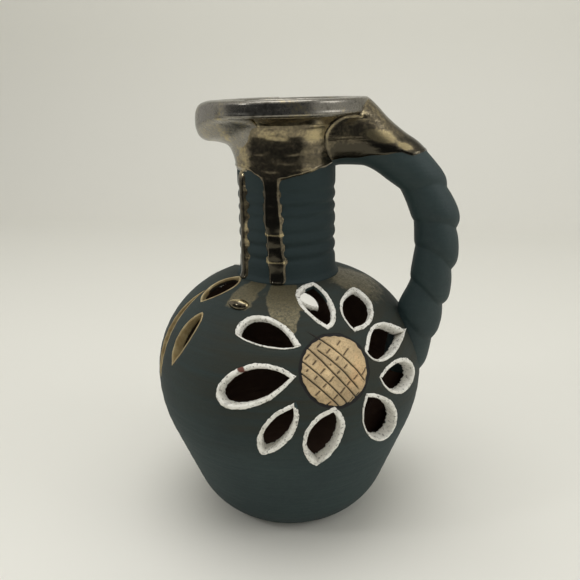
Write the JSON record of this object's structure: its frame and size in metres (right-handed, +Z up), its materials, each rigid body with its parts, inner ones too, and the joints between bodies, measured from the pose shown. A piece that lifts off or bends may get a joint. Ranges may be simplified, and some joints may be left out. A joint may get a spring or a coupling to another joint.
{
  "type": "puzzle jug",
  "caption": "Pierced ceramic puzzle jug with a grooved neck, hollow rim and twisted handle, a drinking spout and cut-through flowers and leaves lined with slip.",
  "frame": {"origin": "centre of the foot, on the table", "axes": "+Z up along the axis of the jug, +X toward the handle, -X toward the spout, -Y toward the front flower"},
  "size_m": [0.1803, 0.1632, 0.25],
  "materials": {
    "slate_slip": "matte dark teal-grey slip, brushed and mottled",
    "bronze_glaze": "glossy metallic bronze glaze that runs and pools",
    "dark_clay": "bare dark brown clay",
    "tan_slip": "matte tan slip",
    "white_slip": "matte pitted white slip",
    "gold_lustre": "dull gold lustre"
  },
  "bodies": {
    "root": {"body": "slate_slip", "neck": "slate_slip", "rim_ring": "bronze_glaze", "drinking_spout": "bronze_glaze", "handle": "slate_slip", "riser_tube": "dark_clay", "flower_centres": "tan_slip", "white_linings": "white_slip", "gold_linings": "gold_lustre", "glaze_runs": "bronze_glaze"}
  },
  "joints": []
}
